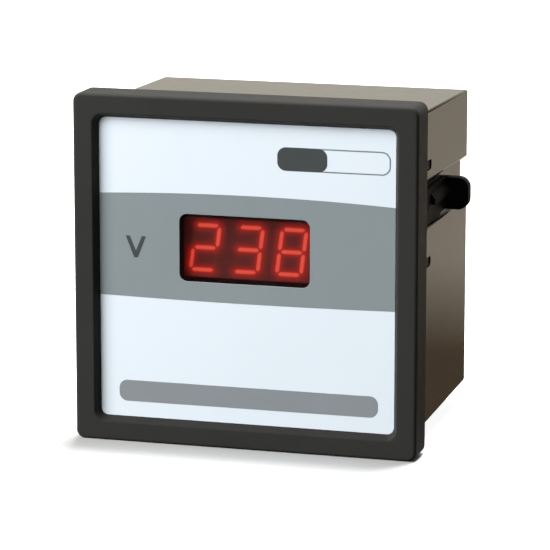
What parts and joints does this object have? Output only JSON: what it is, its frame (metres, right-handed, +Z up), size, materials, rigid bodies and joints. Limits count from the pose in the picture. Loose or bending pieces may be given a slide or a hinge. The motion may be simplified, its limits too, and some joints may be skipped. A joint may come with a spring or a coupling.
{
  "type": "digital panel meter",
  "caption": "Square-faced digital panel meter with a lit red numeric display, a deep push-through case, sliding side clips and a rear screw terminal block.",
  "frame": {"origin": "centre of the bezel's rear face, in the plane where it meets the front of the panel, on the axis of the square cut-out", "axes": "+Z up, the face looks towards -Y, the case runs back along +Y, +X is to the right as the face is read"},
  "size_m": [0.1016, 0.072, 0.096],
  "materials": {
    "bezel_plastic": "fine moulded texture, semi-matt black",
    "case_plastic": "smooth semi-gloss black with a warm cast",
    "plate_plastic": "white moulded plate",
    "film_white": "printed white film with a grey band and grey shapes",
    "red_filter": "clear red acrylic",
    "digit_shell": "dull dark face",
    "digit_segment": "diffusing red resin, lit strokes glow",
    "tinned_metal": "tinned",
    "board_laminate": "phenolic laminate",
    "board_dark": "laminate under a dark solder mask",
    "screw_steel": "zinc plated",
    "chip_epoxy": "matt black epoxy",
    "header_plastic": "black nylon",
    "gold_pin": "gold flash",
    "core_steel": "varnished laminations",
    "bobbin_nylon": "natural nylon",
    "winding_tape": "yellow polyester tape over copper wire",
    "capacitor_sleeve": "shrunk sleeve",
    "diode_epoxy": "black epoxy with a pale ring",
    "resistor_lacquer": "lacquer",
    "trimmer_plastic": "blue",
    "brass_part": "bright",
    "block_plastic": "black phenolic",
    "clip_plastic": "black nylon"
  },
  "bodies": {
    "housing": {"bezel": "bezel_plastic", "case": "case_plastic", "facia_plate": "plate_plastic", "facia_film": "film_white", "display_window": "red_filter", "digit_hundreds": "digit_shell", "digit_tens": "digit_shell", "digit_units": "digit_shell", "segments_hundreds": "digit_segment", "segments_tens": "digit_segment", "segments_units": "digit_segment", "digit_pins": "tinned_metal", "display_board": "board_dark", "board_screws": "screw_steel", "converter_chip": "chip_epoxy", "link_header": "header_plastic", "link_pins": "gold_pin", "main_board": "board_laminate", "transformer_core": "core_steel", "transformer_bobbin": "bobbin_nylon", "transformer_winding": "winding_tape", "large_capacitor": "capacitor_sleeve", "small_capacitor": "capacitor_sleeve", "rectifier_diodes": "diode_epoxy", "voltage_regulator": "chip_epoxy", "input_resistors": "resistor_lacquer", "trimmer_body": "trimmer_plastic", "terminal_block": "block_plastic", "terminal_contacts": "brass_part"},
    "clip_left": {"clip_left": "clip_plastic"},
    "clip_right": {"clip_right": "clip_plastic"},
    "trimmer_screw": {"trimmer_screw": "brass_part"},
    "terminal_clamp_1": {"terminal_clamp_1": "tinned_metal"},
    "terminal_clamp_2": {"terminal_clamp_2": "tinned_metal"},
    "terminal_clamp_3": {"terminal_clamp_3": "tinned_metal"},
    "terminal_clamp_4": {"terminal_clamp_4": "tinned_metal"},
    "terminal_screw_1": {"terminal_screw_1": "screw_steel"},
    "terminal_screw_2": {"terminal_screw_2": "screw_steel"},
    "terminal_screw_3": {"terminal_screw_3": "screw_steel"},
    "terminal_screw_4": {"terminal_screw_4": "screw_steel"}
  },
  "joints": [
    {"name": "clip_left_slide", "type": "slide", "parent": "housing", "child": "clip_left", "axis": [0, 1, 0], "range_m": [-0.0015, 0.017]},
    {"name": "clip_right_slide", "type": "slide", "parent": "housing", "child": "clip_right", "axis": [0, 1, 0], "range_m": [-0.0015, 0.017]},
    {"name": "trimmer_turn", "type": "hinge", "parent": "housing", "child": "trimmer_screw", "pos_m": [0.032, 0.056, -0.0214], "axis": [0, 1, 0], "range_deg": [-135, 135]},
    {"name": "terminal_1_lift", "type": "slide", "parent": "housing", "child": "terminal_clamp_1", "axis": [0, 1, 0], "range_m": [0, 0.003]},
    {"name": "terminal_1_turn", "type": "hinge", "parent": "terminal_clamp_1", "child": "terminal_screw_1", "pos_m": [-0.0165, 0.055, -0.0182], "axis": [0, 1, 0], "range_deg": [0, 1800]},
    {"name": "terminal_2_lift", "type": "slide", "parent": "housing", "child": "terminal_clamp_2", "axis": [0, 1, 0], "range_m": [0, 0.003]},
    {"name": "terminal_2_turn", "type": "hinge", "parent": "terminal_clamp_2", "child": "terminal_screw_2", "pos_m": [-0.0055, 0.055, -0.0182], "axis": [0, 1, 0], "range_deg": [0, 1800]},
    {"name": "terminal_3_lift", "type": "slide", "parent": "housing", "child": "terminal_clamp_3", "axis": [0, 1, 0], "range_m": [0, 0.003]},
    {"name": "terminal_3_turn", "type": "hinge", "parent": "terminal_clamp_3", "child": "terminal_screw_3", "pos_m": [0.0055, 0.055, -0.0182], "axis": [0, 1, 0], "range_deg": [0, 1800]},
    {"name": "terminal_4_lift", "type": "slide", "parent": "housing", "child": "terminal_clamp_4", "axis": [0, 1, 0], "range_m": [0, 0.003]},
    {"name": "terminal_4_turn", "type": "hinge", "parent": "terminal_clamp_4", "child": "terminal_screw_4", "pos_m": [0.0165, 0.055, -0.0182], "axis": [0, 1, 0], "range_deg": [0, 1800]}
  ],
  "couplings": [
    {"joint": "terminal_1_turn", "follows": "terminal_1_lift", "rad_per_m": 10472},
    {"joint": "terminal_2_turn", "follows": "terminal_2_lift", "rad_per_m": 10472},
    {"joint": "terminal_3_turn", "follows": "terminal_3_lift", "rad_per_m": 10472},
    {"joint": "terminal_4_turn", "follows": "terminal_4_lift", "rad_per_m": 10472}
  ]
}
